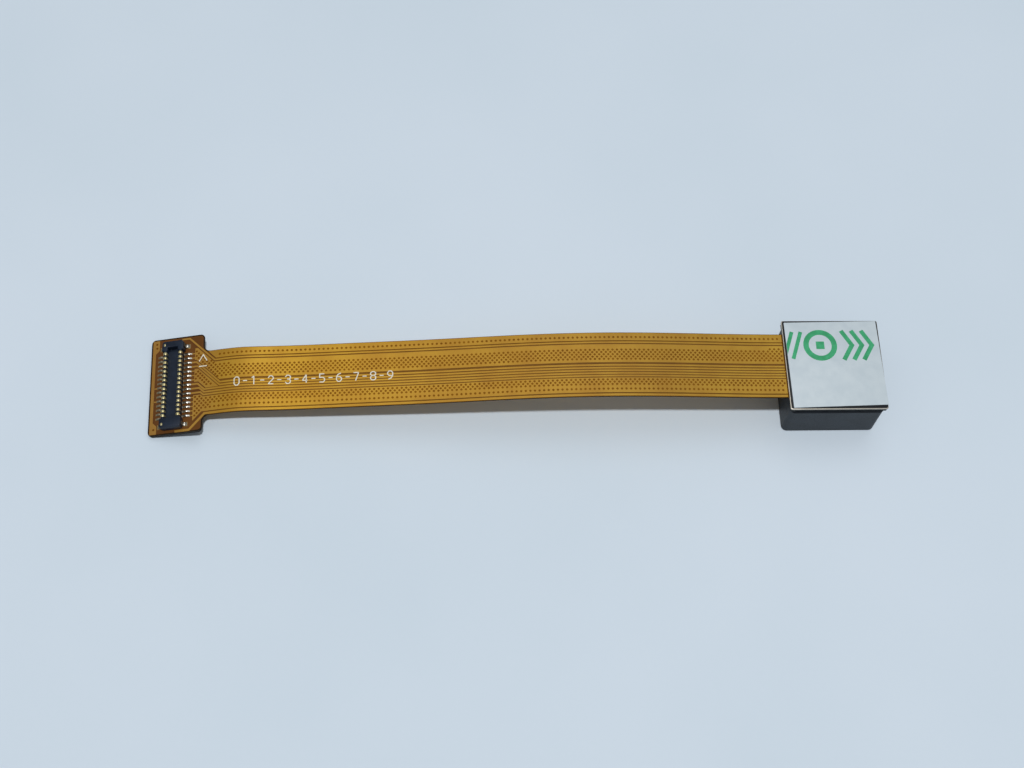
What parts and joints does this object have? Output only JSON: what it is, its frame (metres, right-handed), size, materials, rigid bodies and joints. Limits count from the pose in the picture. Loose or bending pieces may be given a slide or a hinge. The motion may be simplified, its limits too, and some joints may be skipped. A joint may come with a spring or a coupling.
{
  "type": "camera module",
  "caption": "Square fixed-focus camera block with an adhesive back, on a long arched flexible circuit that ends in a stiffened tab with a board-to-board plug.",
  "frame": {"origin": "on the optical axis, in the plane of the block's lens face, which is also the table it lies on", "axes": "+Z from the lens face to the adhesive back, -X from the block along the flexible circuit to the plug, +Y across the circuit"},
  "size_m": [0.0608, 0.0087, 0.0049],
  "materials": {
    "holder_plastic": "moulded, fine satin",
    "black_epoxy": "cured adhesive",
    "barrel_plastic": "moulded, matt",
    "lens_polymer": "clear, coated",
    "black_film": "matt film",
    "clear_adhesive": "cured adhesive",
    "filter_glass": "coated",
    "silicon": "polished die",
    "gold": "plated",
    "capacitor_ceramic": "fired",
    "solder": "bright",
    "bond_film": "film",
    "stainless": "rolled",
    "black_tape": "tape",
    "liner_paper": "coated paper",
    "polyimide": "film over copper",
    "tab_laminate": "laminate",
    "plug_plastic": "moulded"
  },
  "bodies": {
    "root": {"housing": "holder_plastic", "housing_seal": "black_epoxy", "lens_barrel": "barrel_plastic", "lens_1": "lens_polymer", "lens_2": "lens_polymer", "lens_3": "lens_polymer", "lens_4": "lens_polymer", "baffle_1": "black_film", "baffle_2": "black_film", "lens_spacer": "barrel_plastic", "lens_retainer": "barrel_plastic", "thread_lock": "clear_adhesive", "filter_bond": "clear_adhesive", "ir_filter": "filter_glass", "image_sensor": "silicon", "die_attach": "black_epoxy", "bond_wires": "gold", "capacitor_bodies": "capacitor_ceramic", "capacitor_terminals": "solder", "stiffener_bond": "bond_film", "head_stiffener": "stainless", "back_adhesive": "black_tape", "release_liner": "liner_paper", "flex_circuit": "polyimide", "tab_bond": "bond_film", "tab_stiffener": "tab_laminate", "connector_housing": "plug_plastic", "connector_contacts": "gold", "connector_hold_downs": "solder", "solder_joints": "solder"}
  },
  "joints": []
}
